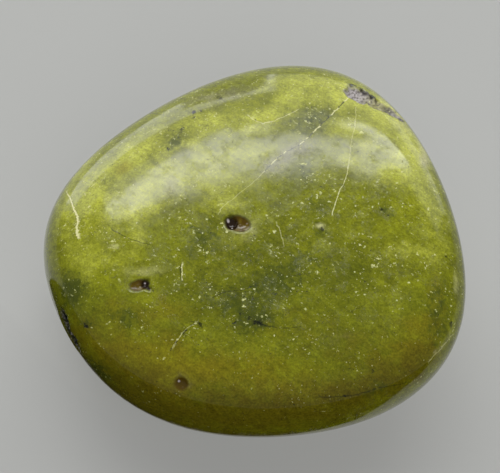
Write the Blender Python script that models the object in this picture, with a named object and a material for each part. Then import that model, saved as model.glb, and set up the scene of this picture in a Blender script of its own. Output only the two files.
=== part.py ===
"""A tumbled and polished serpentine pebble, one solid piece of stone.

The body is a ball whose surface is pushed out to a ring of soft flats, which blend into each other
as tumbling leaves them. It stands on a small flat spot at Z = 0. Small pits and a few rough chips
are then cut into its skin.

Frame: +X along the longest side, +Y away from the side with the small round pit, +Z up, with the
origin under the middle of the stone at the resting spot. Sizes are in millimetres and angles in
degrees until they are put into a mesh, which is in metres.
"""

from typing import NamedTuple

import bpy
import numpy as np
from mathutils import Matrix, Vector, noise

MM = 0.001

STONE_NAME = "serpentine_stone"
STONE_COLOUR = (0.26, 0.29, 0.035, 1.0)
STONE_ROUGHNESS = 0.22

# The heart is the point that every flat is measured from. It lies this far from the origin.
HEART = np.array([0.30, -0.36, 11.27])

# How crisply the flats meet: 2 gives a ball, and large values give sharp edges between flats.
CRISPNESS = 5.5

BODY_SUBDIVISIONS = 5
CUTTER_SUBDIVISIONS = 3
FOOT_CUTTER_SIDE = 60.0

# The waver of a pit's rim: how many waves a cutter has across it, how far the noise is stretched to
# give a full share of a radius, and how far apart in the noise one pit is from the next.
WAVER_FREQUENCY = 1.8
WAVER_GAIN = 2.0
WAVER_STEP = Vector((7.3, 3.1, 0.0))


class Flat(NamedTuple):
    """One soft flat of the body: the way it faces, and its distance from the heart."""

    azimuth: float
    elevation: float
    distance: float


class Swell(NamedTuple):
    """A low rise of the skin, or a hollow where its height is negative."""

    azimuth: float
    elevation: float
    spread: float
    height: float


class Pit(NamedTuple):
    """A hole or chip in the skin.

    azimuth and elevation give its place as seen from the heart. length, width and depth are the
    hollow's own, turn is the angle of its long side in the skin, and lumps says how far its rim
    strays from an oval, as a share of its radius.
    """

    azimuth: float
    elevation: float
    length: float
    width: float
    depth: float
    turn: float = 0.0
    lumps: float = 0.08


FLATS = {
    "right_flank": Flat(20, 12, 18.1),
    "back_right_corner": Flat(62, 14, 23.7),
    "back_flank": Flat(104, 22, 19.7),
    "back_left_flank": Flat(132, 20, 16.4),
    "left_end": Flat(172.7, 2.1, 25.2),
    "front_left_flank": Flat(213, -9, 18.7),
    "front_flank": Flat(252.9, 16.1, 18.9),
    "front_right_flank": Flat(290.6, -7.9, 19.1),
    "right_corner": Flat(332.9, -4.3, 25.9),
    "top": Flat(240, 87, 6.9),
    "top_back": Flat(90, 55, 17.0),
    "top_front": Flat(266.4, 52.9, 16.9),
    "top_right": Flat(338, 43, 20.5),
    "top_left": Flat(186, 40, 18.4),
    "top_back_right": Flat(56, 45, 20.5),
    "base": Flat(220.2, -82.5, 12.0),
    "base_front": Flat(283.3, -55.8, 15.5),
    "base_front_left": Flat(256.4, -47.1, 15.9),
    "base_back": Flat(95, -48, 13.8),
    "base_right": Flat(0, -45, 13.4),
    "base_left": Flat(177.6, -41.4, 18.8),
}

SWELLS = {
    "back_rise": Swell(88, -24, 20, 0.25),
    "back_right_hollow": Swell(46, -28, 15, -0.30),
    "left_under_hollow": Swell(196, -42, 14, -0.30),
    "front_under_rise": Swell(300, -52, 14, 0.20),
}

PITS = {
    "middle_pit": Pit(-155.9, 72.1, 1.48, 0.98, 0.70, 93),
    "middle_pit_shelf": Pit(-143.4, 75.7, 2.14, 1.56, 0.32, -20),
    "left_pit": Pit(-145.1, 29.0, 0.92, 0.82, 0.58, 79),
    "left_pit_shelf": Pit(-145.8, 27.8, 1.68, 1.06, 0.27, 10),
    "left_pit_tail": Pit(-142.6, 28.9, 0.72, 0.38, 0.30, -52),
    "front_pit": Pit(-112.3, 15.1, 1.32, 1.20, 0.40, -8, 0.04),
    "top_slit": Pit(-137.9, 38.1, 1.20, 0.22, 0.16, 90),
    "corner_chip": Pit(53.7, 22.0, 2.80, 2.20, 0.50, -38, 0.22),
    "corner_chip_tail": Pit(47.3, 21.0, 2.50, 1.70, 0.36, -42, 0.22),
    "corner_nick": Pit(42.7, 19.1, 1.70, 1.40, 0.36, -56, 0.24),
    "corner_nick_tail": Pit(39.9, 17.8, 1.10, 0.95, 0.26, -62, 0.24),
    "left_chip": Pit(-153.3, 2.4, 3.60, 3.00, 0.60, 50, 0.20),
    "left_chip_low": Pit(-150.2, 1.4, 2.00, 2.60, 0.50, 55, 0.20),
    "left_chip_top": Pit(-155.8, 6.4, 1.20, 1.90, 0.36, 63, 0.20),
    "back_pit": Pit(118.0, -4.0, 1.20, 0.90, 0.50, 20),
    "right_pit": Pit(-8.0, -22.0, 0.90, 0.80, 0.40, 60),
    "underside_pit": Pit(205.0, -58.0, 1.10, 0.80, 0.45, 35),
}


def directions_from(azimuth, elevation) -> np.ndarray:
    """Return unit vectors for angles in degrees, azimuth from +X towards +Y and elevation up."""
    turn = np.radians(azimuth)
    rise = np.radians(elevation)
    return np.stack([np.cos(turn) * np.cos(rise), np.sin(turn) * np.cos(rise), np.sin(rise)], axis=-1)


def flat_arrays() -> tuple[np.ndarray, np.ndarray]:
    """Return the flats' outward normals and their distances from the heart."""
    flats = np.array(list(FLATS.values()), dtype=float)
    return directions_from(flats[:, 0], flats[:, 1]), flats[:, 2]


def body_radius(directions: np.ndarray) -> np.ndarray:
    """Return how far the skin lies from the heart along each unit direction, in millimetres.

    Each flat would stop the direction at distance / (direction . normal). The powers of the
    inverse of these are added up, so that the nearest flat rules and its neighbours round its edges.
    """
    normals, distances = flat_arrays()
    closeness = np.maximum(directions @ normals.T, 0.0) / distances
    radius = (closeness**CRISPNESS).sum(axis=-1) ** (-1.0 / CRISPNESS)
    for swell in SWELLS.values():
        cosine = np.clip(directions @ directions_from(swell.azimuth, swell.elevation), -1.0, 1.0)
        angle = np.degrees(np.arccos(cosine))
        radius = radius + swell.height * np.exp(-0.5 * (angle / swell.spread) ** 2)
    return radius


def skin_normal(direction: np.ndarray) -> np.ndarray:
    """Return the body's outward normal where the direction from the heart meets its skin."""
    normals, distances = flat_arrays()
    closeness = np.maximum(normals @ direction, 0.0) / distances
    slope = (closeness ** (CRISPNESS - 1.0) / distances) @ normals
    return slope / np.linalg.norm(slope)


def move_vertices(mesh: bpy.types.Mesh, shape) -> None:
    """Pass all the vertices of a mesh through shape, a function of an array of points."""
    points = np.empty(len(mesh.vertices) * 3)
    mesh.vertices.foreach_get("co", points)
    mesh.vertices.foreach_set("co", shape(points.reshape(-1, 3)).ravel())
    mesh.update()


def add_object(name: str, collection: bpy.types.Collection) -> bpy.types.Object:
    """Name the mesh object that was just added, shade it smooth and file it in a collection."""
    item = bpy.context.object
    item.name = name
    item.data.name = name
    item.data.shade_smooth()
    for holder in list(item.users_collection):
        holder.objects.unlink(item)
    collection.objects.link(item)
    return item


def add_stone(collection: bpy.types.Collection) -> bpy.types.Object:
    """Make the uncut body from an icosphere."""
    bpy.ops.mesh.primitive_ico_sphere_add(subdivisions=BODY_SUBDIVISIONS, radius=1.0)
    stone = add_object(STONE_NAME, collection)

    def push_out(points: np.ndarray) -> np.ndarray:
        directions = points / np.linalg.norm(points, axis=1, keepdims=True)
        return (HEART + directions * body_radius(directions)[:, None]) * MM

    move_vertices(stone.data, push_out)
    stone.data.materials.append(stone_material())
    return stone


def stone_material() -> bpy.types.Material:
    """Return the polished stone's material."""
    material = bpy.data.materials.new("polished_serpentine")
    material.use_nodes = True
    shader = material.node_tree.nodes["Principled BSDF"]
    shader.inputs["Base Color"].default_value = STONE_COLOUR
    shader.inputs["Roughness"].default_value = STONE_ROUGHNESS
    shader.inputs["Metallic"].default_value = 0.0
    return material


def hide_cutter(cutter: bpy.types.Object) -> None:
    """Show a cutter as a wire frame that isn't rendered."""
    cutter.display_type = "WIRE"
    cutter.hide_render = True


def add_foot_cutter(collection: bpy.types.Collection) -> bpy.types.Object:
    """Make the block whose top face leaves the flat spot that the stone rests on."""
    side = FOOT_CUTTER_SIDE * MM
    bpy.ops.mesh.primitive_cube_add(size=side, location=(0.0, 0.0, -side / 2.0))
    cutter = add_object("foot_cutter", collection)
    hide_cutter(cutter)
    return cutter


def pit_matrix(pit: Pit) -> Matrix:
    """Return the place of a pit: its X along the pit's length and its Z out of the skin."""
    direction = directions_from(pit.azimuth, pit.elevation)
    centre = HEART + direction * body_radius(direction[None, :])[0]
    outward = Vector(skin_normal(direction))
    across = Vector((0.0, 1.0, 0.0)).cross(outward).normalized()
    along = outward.cross(across)
    turned = Matrix((across, along, outward)).transposed().to_4x4()
    return Matrix.Translation(Vector(centre * MM)) @ turned @ Matrix.Rotation(np.radians(pit.turn), 4, "Z")


def add_pit_cutter(name: str, pit: Pit, order: int, collection: bpy.types.Collection) -> bpy.types.Object:
    """Make the lumpy ellipsoid that cuts one pit, centred on the skin."""
    bpy.ops.mesh.primitive_ico_sphere_add(subdivisions=CUTTER_SUBDIVISIONS, radius=1.0)
    cutter = add_object(f"{name}_cutter", collection)
    half_sizes = np.array([pit.length / 2.0, pit.width / 2.0, pit.depth]) * MM
    offset = WAVER_STEP * order

    def make_lumpy(points: np.ndarray) -> np.ndarray:
        waver = np.array([noise.noise(Vector(point) * WAVER_FREQUENCY + offset) for point in points])
        return points * (1.0 + pit.lumps * WAVER_GAIN * waver)[:, None] * half_sizes

    move_vertices(cutter.data, make_lumpy)
    cutter.matrix_world = pit_matrix(pit)
    hide_cutter(cutter)
    return cutter


def cut(stone: bpy.types.Object, cutter: bpy.types.Object) -> None:
    """Take the cutter's shape out of the stone with a Boolean modifier."""
    modifier = stone.modifiers.new(cutter.name, "BOOLEAN")
    modifier.operation = "DIFFERENCE"
    modifier.solver = "EXACT"
    modifier.object = cutter


def new_collection(name: str) -> bpy.types.Collection:
    """Add an empty collection to the scene."""
    collection = bpy.data.collections.new(name)
    bpy.context.scene.collection.children.link(collection)
    return collection


def main() -> None:
    """Build the stone in an empty scene."""
    for item in list(bpy.data.objects):
        bpy.data.objects.remove(item)
    stone = add_stone(new_collection("serpentine_rock"))
    cutters = new_collection("cutters")
    cut(stone, add_foot_cutter(cutters))
    for order, (name, pit) in enumerate(PITS.items()):
        cut(stone, add_pit_cutter(name, pit, order, cutters))


main()
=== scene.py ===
"""Looks of a tumbled serpentine pebble: its skin, hollows, clouds, veins, grain and polish.

The skin is one closed grid of points. The same soft flats that shape the solid push it out, then
each pit and chip presses its own form into it. What is only colour is painted by a shader, which
reads where the clouds, halos and veins lie from attributes of the points.

Sizes are in millimetres and angles in degrees until they reach a mesh, a light or the camera, which
are in metres. Places on the side that the picture shows are given in its own pixels, from its upper
left corner, and are carried along the camera's rays to the skin.
"""

import logging
import math
from collections.abc import Iterable
from dataclasses import dataclass, field
from enum import Enum

import bpy
import numpy as np
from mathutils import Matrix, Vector


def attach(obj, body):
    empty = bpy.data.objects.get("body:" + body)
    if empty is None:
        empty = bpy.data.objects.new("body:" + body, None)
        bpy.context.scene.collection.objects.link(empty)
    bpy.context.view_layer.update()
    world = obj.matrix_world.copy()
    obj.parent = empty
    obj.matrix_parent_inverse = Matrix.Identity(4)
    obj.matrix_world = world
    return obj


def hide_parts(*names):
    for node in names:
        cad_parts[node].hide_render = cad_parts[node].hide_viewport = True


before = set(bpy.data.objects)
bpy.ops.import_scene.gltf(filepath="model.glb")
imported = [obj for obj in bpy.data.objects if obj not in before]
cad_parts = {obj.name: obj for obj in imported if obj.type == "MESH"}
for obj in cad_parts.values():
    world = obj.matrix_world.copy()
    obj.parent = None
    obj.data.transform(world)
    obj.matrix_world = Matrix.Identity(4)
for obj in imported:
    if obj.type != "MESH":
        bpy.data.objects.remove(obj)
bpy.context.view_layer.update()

MM = 0.001
STONE_NODE = "serpentine_stone"
LOG = logging.getLogger("serpentine_pebble")

# What the random draws start from. Each hollow's rim and each line adds its own number to its seed.
WAVE_SEED = 3
FLOOR_SEED = 7
RIM_SEED = 100
LINE_SEED = 500

Pixel = tuple[float, float]
Triple = tuple[float, float, float]
Colour = tuple[float, float, float, float]
Tree = bpy.types.NodeTree
Socket = bpy.types.NodeSocket
Value = float | tuple[float, ...] | Socket

BLACK: Colour = (0.0, 0.0, 0.0, 1.0)
WHITE: Colour = (1.0, 1.0, 1.0, 1.0)


def directions_from(azimuth: float | np.ndarray, elevation: float | np.ndarray) -> np.ndarray:
    """Turn angles into unit vectors.

    Args:
        azimuth: Degrees from +X towards +Y.
        elevation: Degrees up from the level.

    Returns:
        Vectors (cos az cos el, sin az cos el, sin el), along a new last axis.
    """
    turn = np.radians(azimuth)
    rise = np.radians(elevation)
    return np.stack([np.cos(turn) * np.cos(rise), np.sin(turn) * np.cos(rise), np.sin(rise)], axis=-1)


def unit(vectors: np.ndarray) -> np.ndarray:
    """Return the vectors along the last axis, each divided by its own length."""
    return vectors / np.linalg.norm(vectors, axis=-1, keepdims=True)


def smooth_step(values: np.ndarray, low: float, high: float) -> np.ndarray:
    """Return 0 below low, 1 above high and 3t^2 - 2t^3 between them, t being the share of the way."""
    share = np.clip((values - low) / (high - low), 0.0, 1.0)
    return share * share * (3.0 - 2.0 * share)


@dataclass(frozen=True)
class Flat:
    """One soft flat of the body: the way it faces, and its distance from the heart."""

    azimuth: float
    elevation: float
    distance: float


@dataclass(frozen=True)
class Swell:
    """A low rise of the skin, or a hollow where its height is negative."""

    azimuth: float
    elevation: float
    spread: float
    height: float


@dataclass(frozen=True)
class PebbleBody:
    """The pebble before its pits: a ball pushed out to a ring of soft flats around its heart."""

    heart: Triple = (0.30, -0.36, 11.27)
    crispness: float = 5.5
    flats: tuple[Flat, ...] = (
        Flat(20, 12, 18.1),
        Flat(62, 14, 23.7),
        Flat(104, 22, 19.7),
        Flat(132, 20, 16.4),
        Flat(172.7, 2.1, 25.2),
        Flat(213, -9, 18.7),
        Flat(252.9, 16.1, 18.9),
        Flat(290.6, -7.9, 19.1),
        Flat(332.9, -4.3, 25.9),
        Flat(240, 87, 6.9),
        Flat(90, 55, 17.0),
        Flat(266.4, 52.9, 16.9),
        Flat(338, 43, 20.5),
        Flat(186, 40, 18.4),
        Flat(56, 45, 20.5),
        Flat(220.2, -82.5, 12.0),
        Flat(283.3, -55.8, 15.5),
        Flat(256.4, -47.1, 15.9),
        Flat(95, -48, 13.8),
        Flat(0, -45, 13.4),
        Flat(177.6, -41.4, 18.8),
    )
    swells: tuple[Swell, ...] = (
        Swell(88, -24, 20, 0.25),
        Swell(46, -28, 15, -0.30),
        Swell(196, -42, 14, -0.30),
        Swell(300, -52, 14, 0.20),
    )

    def _flat_arrays(self) -> tuple[np.ndarray, np.ndarray]:
        """Return the flats' outward normals and their distances from the heart."""
        table = np.array([(flat.azimuth, flat.elevation, flat.distance) for flat in self.flats])
        return directions_from(table[:, 0], table[:, 1]), table[:, 2]

    def radius(self, directions: np.ndarray) -> np.ndarray:
        """Find how far the skin lies from the heart.

        A flat would stop a direction at distance / (direction . normal). The inverses of these
        are raised to the crispness and added, so the nearest flat rules and its neighbours round
        its edges. Each swell then adds height * exp(-(angle / spread)^2 / 2).

        Args:
            directions: Unit vectors from the heart.

        Returns:
            One distance in millimetres for each vector.
        """
        normals, distances = self._flat_arrays()
        closeness = np.maximum(directions @ normals.T, 0.0) / distances
        radius = (closeness**self.crispness).sum(axis=-1) ** (-1.0 / self.crispness)
        for swell in self.swells:
            cosine = directions @ directions_from(swell.azimuth, swell.elevation)
            angle = np.degrees(np.arccos(np.clip(cosine, -1.0, 1.0)))
            radius = radius + swell.height * np.exp(-0.5 * (angle / swell.spread) ** 2)
        return radius

    def points(self, directions: np.ndarray) -> np.ndarray:
        """Return heart + radius * direction for each unit vector."""
        return np.array(self.heart) + directions * self.radius(directions)[..., None]

    def normals(self, directions: np.ndarray) -> np.ndarray:
        """Find the way the skin faces, from the slope of the sum that radius adds up.

        Args:
            directions: Unit vectors from the heart.

        Returns:
            One outward unit vector for each of them.
        """
        normals, distances = self._flat_arrays()
        closeness = np.maximum(directions @ normals.T, 0.0) / distances
        return unit((closeness ** (self.crispness - 1.0) / distances) @ normals)

    def fullness(self, points: np.ndarray) -> np.ndarray:
        """Compare points with the skin.

        Args:
            points: Points in millimetres.

        Returns:
            Each point's distance from the heart as a share of the skin's own there.
        """
        arms = points - np.array(self.heart)
        lengths = np.linalg.norm(arms, axis=-1)
        return lengths / self.radius(arms / lengths[..., None])

    def radial_cast(self, points: np.ndarray) -> np.ndarray:
        """Return the skin's points on the lines from the heart through the given ones."""
        return self.points(unit(points - np.array(self.heart)))


@dataclass(frozen=True)
class PictureView:
    """The camera, and the way from a place in the picture to the skin."""

    width: int = 500
    height: int = 473
    elevation: float = 60.0
    distance: float = 180.0
    lens: float = 150.0
    sensor: float = 36.0
    nearest: float = 10.0
    aim: Triple = (-0.115, 0.854, 11.971)
    near_side: float = 30.0
    march_steps: int = 160
    halvings: int = 20

    def backward(self) -> np.ndarray:
        """Return the unit vector from the aim to the camera."""
        return directions_from(-90.0, self.elevation)

    def eye(self) -> np.ndarray:
        """Return the camera's place."""
        return np.array(self.aim) + self.backward() * self.distance

    def rays(self, pixels: np.ndarray) -> np.ndarray:
        """Find the way that the light of each pixel came from.

        Args:
            pixels: Places in the picture, across and down.

        Returns:
            Unit vectors, forward + across * right - down * up over the focal length in pixels.
        """
        focal = self.lens / self.sensor * self.width
        forward = -self.backward()
        right = np.array([1.0, 0.0, 0.0])
        up = np.cross(right, forward)
        across = (pixels[..., 0:1] - self.width / 2.0) / focal
        down = (pixels[..., 1:2] - self.height / 2.0) / focal
        return unit(forward + across * right - down * up)

    def cast(self, body: PebbleBody, pixels: np.ndarray) -> np.ndarray:
        """Carry places in the picture to the skin.

        Each ray is walked from this side of the stone. Where a step first falls inside the
        body, the last step is halved until it meets the skin. A ray that misses takes the skin's
        point nearest to where it passes.

        Args:
            body: The uncut body.
            pixels: Places in the picture, shape (n, 2).

        Returns:
            Points on the skin, shape (n, 3).
        """
        ways = self.rays(np.asarray(pixels, dtype=float))
        start = self.eye() + ways * (self.distance - self.near_side)
        stride = 2.0 * self.near_side / self.march_steps
        steps = np.arange(self.march_steps) * stride
        walked = start[:, None, :] + ways[:, None, :] * steps[None, :, None]
        fullness = body.fullness(walked)
        inside = fullness <= 1.0
        hits = inside.any(axis=1)
        first = np.where(hits, inside.argmax(axis=1), fullness.argmin(axis=1))
        far = steps[first]
        near = far - stride * hits
        for _ in range(self.halvings):
            middle = (near + far) / 2.0
            within = body.fullness(start + ways * middle[:, None]) <= 1.0
            far = np.where(within, middle, far)
            near = np.where(within, near, middle)
        return body.radial_cast(start + ways * far[:, None])

    def add_camera(self) -> bpy.types.Object:
        """Put the camera in the scene and make it the one that is looked through.

        Returns:
            The camera object.
        """
        data = bpy.data.cameras.new("picture_camera")
        data.lens = self.lens
        data.sensor_width = self.sensor
        data.clip_start = self.nearest * MM
        camera = bpy.data.objects.new("picture_camera", data)
        camera.location = Vector(self.eye() * MM)
        camera.rotation_euler = Vector(self.backward()).to_track_quat("Z", "Y").to_euler()
        bpy.context.scene.collection.objects.link(camera)
        bpy.context.scene.camera = camera
        return camera


class Form(Enum):
    """What shape a hollow has: two powers that give its profile, and how far its rim is blurred."""

    BOWL = (2.4, 0.75, 0.42)
    SHELF = (4.0, 1.0, 0.20)
    DIMPLE = (2.0, 1.10, 0.30)
    SLIT = (2.0, 0.70, 0.16)
    CHIP = (4.0, 0.80, 0.16)

    @property
    def mask(self) -> str:
        """Return the name of the attribute that masks the hollows of this form."""
        return self.name.lower()


# How many times each wave of a hollow's rim goes round it, and the reach of a point far from it.
RIM_WAVES = range(2, 8)
OUTSIDE = 9.0


@dataclass(frozen=True)
class Hollow:
    """A pit or chip in the skin.

    azimuth and elevation give its place as seen from the heart. turn is the angle of its long
    side in the skin, and lumps says how far its rim strays from an oval, as a share of its radius.
    """

    form: Form
    azimuth: float
    elevation: float
    length: float
    width: float
    depth: float
    turn: float = 0.0
    lumps: float = 0.08

    def place(self, body: PebbleBody) -> tuple[np.ndarray, np.ndarray, np.ndarray, np.ndarray]:
        """Find where the hollow lies.

        Args:
            body: The uncut body.

        Returns:
            Its centre on the skin, the way its length runs, the way its width runs, and outward.
        """
        direction = directions_from(self.azimuth, self.elevation)
        outward = body.normals(direction)
        across = unit(np.cross([0.0, 1.0, 0.0], outward))
        along = np.cross(outward, across)
        turn = math.radians(self.turn)
        length_way = across * math.cos(turn) + along * math.sin(turn)
        width_way = along * math.cos(turn) - across * math.sin(turn)
        return body.points(direction), length_way, width_way, outward

    def reach(self, body: PebbleBody, points: np.ndarray, order: int) -> np.ndarray:
        """Find how far out in the hollow each point lies: 0 at its middle and 1 at its rim.

        The oval's radius is changed by lumps times a sum of cosines of the angle around it. A
        point far above or below the hollow counts as outside.

        Args:
            body: The uncut body.
            points: Points on the skin.
            order: The hollow's number, which seeds its rim.

        Returns:
            One share for each point.
        """
        centre, length_way, width_way, outward = self.place(body)
        arms = points - centre
        first = arms @ length_way / (self.length / 2.0)
        second = arms @ width_way / (self.width / 2.0)
        angle = np.arctan2(second, first)
        draw = np.random.default_rng(RIM_SEED + order)
        ragged = np.ones_like(angle)
        for waves in RIM_WAVES:
            ragged += self.lumps * np.cos(waves * angle + draw.uniform(0.0, math.tau)) / math.sqrt(waves)
        out = np.hypot(first, second) / ragged
        return np.where(np.abs(arms @ outward) < self.length, out, OUTSIDE)

    def profile(self, reach: np.ndarray) -> np.ndarray:
        """Return the depth at each reach, depth * (1 - reach^first) ^ second inside the rim."""
        first, second, _ = self.form.value
        return self.depth * np.maximum(1.0 - np.minimum(reach, 1.0) ** first, 0.0) ** second

    def cover(self, reach: np.ndarray) -> np.ndarray:
        """Return 1 inside the hollow and 0 outside; the blur of its rim lies mostly inside."""
        blur = self.form.value[2]
        return 1.0 - smooth_step(reach, 1.0 - blur, 1.0 + blur / 3.0)


@dataclass(frozen=True)
class Gather:
    """A place where the grid is drawn together, to give small forms more points."""

    azimuth: float
    elevation: float
    spread: float
    pull: float

    def apply(self, directions: np.ndarray) -> np.ndarray:
        """Draw unit vectors towards the place.

        A vector u moves by pull * exp(-|u - c|^2 / (2 spread^2)) * (c - u), c being the place, and
        is scaled back to length 1.

        Args:
            directions: Unit vectors.

        Returns:
            The moved unit vectors.
        """
        arms = directions - directions_from(self.azimuth, self.elevation)
        share = self.pull * np.exp(-(arms**2).sum(axis=1) / (2.0 * self.spread**2))
        return unit(directions - share[:, None] * arms)


@dataclass(frozen=True)
class BallGrid:
    """A closed grid of unit vectors: the six squares of a cube, blown up to a ball."""

    cells: int = 125
    merge_digits: int = 6

    def build(self) -> tuple[np.ndarray, np.ndarray]:
        """Work out the grid.

        On each square, two parameters s and t run from -45 to 45 degrees, and a point is
        normal + tan(s) * first side + tan(t) * second side, scaled to length 1. Points that two
        squares share are made one.

        Returns:
            The unit vectors, and the quads as rows of four numbers, wound to face outwards.
        """
        steps = np.tan(np.linspace(-45.0, 45.0, self.cells + 1) * math.pi / 180.0)
        first, second = np.meshgrid(steps, steps, indexing="ij")
        row = self.cells + 1
        corner = (np.arange(self.cells)[:, None] * row + np.arange(self.cells)).ravel()
        quad = np.stack([corner, corner + row, corner + row + 1, corner + 1], axis=1)
        sides = np.eye(3)
        patches = []
        quads = []
        for axis in range(3):
            for sign in (1.0, -1.0):
                normal = sides[axis] * sign
                across = sides[(axis + 1) % 3]
                along = sides[(axis + 2) % 3] * sign
                patch = normal + first[..., None] * across + second[..., None] * along
                quads.append(quad + len(patches) * row * row)
                patches.append(unit(patch).reshape(-1, 3))
        loose = np.concatenate(patches)
        _, keep, number = np.unique(
            np.round(loose, self.merge_digits), axis=0, return_index=True, return_inverse=True
        )
        return loose[keep], number.reshape(-1)[np.concatenate(quads)]


class Tint(Enum):
    """The colour families that lie on the skin as soft patches, each an attribute of its own.

    All but the last three colour the polished skin, and ink also paints shadow on the chips' edges.
    The dark brown also paints shade along the lower edge, and the pale and halo tints paint light
    along the outline. Painted glints lie in the pits, and the last two lighten the chips' floors.
    """

    DARK = "dark_cloud"
    DEEP = "deep_olive"
    INK = "ink_spot"
    BROWN = "brown_cloud"
    BROWN_SHADE = "dark_brown"
    PALE = "pale_cloud"
    PURPLE = "purple_haze"
    HALO = "pale_halo"
    SPARK = "pit_spark"
    CHALK = "pale_fracture"
    BEIGE = "beige_fracture"


class SoftPatch:
    """A patch of a tint, strongest at its centre and fading out over its half sides."""

    strength: float

    def frame(self, body: PebbleBody, view: PictureView) -> np.ndarray:
        """Return four rows: the patch's centre, its two half sides, and its depth's reach."""
        raise NotImplementedError

    def mask(self, body: PebbleBody, view: PictureView, points: np.ndarray) -> np.ndarray:
        """Work out how strongly the patch colours each point.

        The point's arm from the centre is written as a, b and c times the three sides, and the
        mask is strength * exp(-(a^2 + b^2 + c^2)).

        Args:
            body: The uncut body.
            view: The picture's camera.
            points: Points on the skin.

        Returns:
            One value for each point.
        """
        rows = self.frame(body, view)
        shares = np.linalg.solve(rows[1:].T, (points - rows[0]).T)
        return self.strength * np.exp(-(shares**2).sum(axis=0))


@dataclass(frozen=True)
class Patch(SoftPatch):
    """A soft patch on the side that the picture shows, with its place and half sizes in pixels."""

    place: Pixel
    half_width: float
    half_height: float
    strength: float
    turn: float = 0.0

    def frame(self, body: PebbleBody, view: PictureView) -> np.ndarray:
        """Carry the patch to the skin.

        Args:
            body: The uncut body.
            view: The picture's camera.

        Returns:
            Four rows: its centre, the ends of its half sides from there, and its depth's reach.
        """
        turn = math.radians(self.turn)
        centre = np.array(self.place)
        sides = np.array([
            [self.half_width * math.cos(turn), -self.half_width * math.sin(turn)],
            [-self.half_height * math.sin(turn), -self.half_height * math.cos(turn)],
        ])
        spots = view.cast(body, np.array([centre, *(centre + sides), *(centre - sides)]))
        half_sides = (spots[1:3] - spots[3:5]) / 2.0
        outward = body.normals(unit(spots[0] - np.array(body.heart)))
        depth = outward * np.linalg.norm(half_sides, axis=1).max()
        return np.array([spots[0], *half_sides, depth])


@dataclass(frozen=True)
class HiddenPatch(SoftPatch):
    """A soft patch on a side that the picture doesn't show, with half sizes in millimetres."""

    azimuth: float
    elevation: float
    half_width: float
    half_height: float
    strength: float

    def frame(self, body: PebbleBody, view: PictureView) -> np.ndarray:
        """Place the patch on the skin; its width runs level.

        Args:
            body: The uncut body.
            view: The picture's camera, which this kind of patch doesn't need.

        Returns:
            Four rows: its centre, its two half sides, and its depth's reach.
        """
        direction = directions_from(self.azimuth, self.elevation)
        outward = body.normals(direction)
        across = unit(np.cross([0.0, 0.0, 1.0], outward))
        along = np.cross(outward, across)
        depth = outward * max(self.half_width, self.half_height)
        half_sides = (across * self.half_width, along * self.half_height)
        return np.array([body.points(direction), *half_sides, depth])


class Line(Enum):
    """The kinds of thin line in the skin, each an attribute of its own; two of the white lines are painted
    reflections.
    """

    WHITE = "white_line"
    CRACK = "crack_line"
    DARK = "dark_line"
    BEADS = "bead_line"


# A line's arcs are drawn in four steps each, and its points stray by this many pixels. Its gate closes
# between two distances from it and over a short way past its ends, in millimetres.
ARC_SHARES = np.linspace(0.0, 1.0, 5)[:-1, None]
STRAY = 0.35
GATE_CLOSES = (0.35, 0.70)
END_CLOSES = (0.0, 0.15)


@dataclass(frozen=True)
class ThinLine:
    """A thin line through places in the picture, with its width at its start and end."""

    line: Line
    path: tuple[Pixel, ...]
    width: float = 0.10
    end_width: float = 0.05
    strength: float = 1.0

    def curve(self, body: PebbleBody, view: PictureView, order: int) -> np.ndarray:
        """Draw the line on the skin.

        The places are joined by arcs that pass through them smoothly, each 0.5 * (2b + (c - a)t
        + (2a - 5b + 4c - d)t^2 + (3b - a - 3c + d)t^3), b and c being its ends and a and d their
        other neighbours. Every point strays a little, as a crack does.

        Args:
            body: The uncut body.
            view: The picture's camera.
            order: The line's number, which seeds its straying.

        Returns:
            Points along the line.
        """
        places = np.array(self.path, dtype=float)
        places = np.concatenate([2 * places[:1] - places[1:2], places, 2 * places[-1:] - places[-2:-1]])
        arcs = []
        for a, b, c, d in zip(places, places[1:], places[2:], places[3:]):
            bend = (2 * a - 5 * b + 4 * c - d) * ARC_SHARES**2 + (3 * b - a - 3 * c + d) * ARC_SHARES**3
            arcs.append(0.5 * (2 * b + (c - a) * ARC_SHARES + bend))
        pixels = np.concatenate([*arcs, places[-2:-1]])
        stray = np.random.default_rng(LINE_SEED + order).normal(0.0, STRAY, pixels.shape)
        return view.cast(body, pixels + stray)

    def field(self, body: PebbleBody, points: np.ndarray, curve: np.ndarray) -> np.ndarray:
        """Work out where each point lies beside the line.

        For each stretch of the line, the nearest place on it is found, and the distance is given
        the sign of the side. It is divided by half the line's width there, so that the line
        is where the value lies between -1 and 1. The gate falls to 0 away from the line and
        past its ends, where the sign could change without a line.

        Args:
            body: The uncut body.
            points: Points on the skin, shape (n, 3).
            curve: The line's points.

        Returns:
            Rows of signed distance over half width, gate, and strength.
        """
        best = np.full(len(points), np.inf)
        signed = np.zeros(len(points))
        past = np.zeros(len(points))
        count = len(curve) - 1
        outward = body.normals(unit(points - np.array(body.heart)))
        for number in range(count):
            start = curve[number]
            step = curve[number + 1] - start
            arms = points - start
            free = arms @ step / (step @ step)
            share = np.clip(free, 0.0, 1.0)
            distance = np.linalg.norm(arms - share[:, None] * step, axis=1)
            side = np.sign((np.cross(step, arms) * outward).sum(axis=1))
            near = distance < best
            along = (number + share) / count
            half_width = 0.5 * (self.width + (self.end_width - self.width) * along)
            best = np.where(near, distance, best)
            signed = np.where(near, side * distance / half_width, signed)
            beyond = np.maximum(free - 1.0, 0.0) if number == count - 1 else np.zeros(len(points))
            before = np.maximum(-free, 0.0) if number == 0 else np.zeros(len(points))
            past = np.where(near, (beyond + before) * np.linalg.norm(step), past)
        gate = (1.0 - smooth_step(best, *GATE_CLOSES)) * (1.0 - smooth_step(past, *END_CLOSES))
        return np.stack([signed, gate, np.full(len(points), self.strength)], axis=1)


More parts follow.
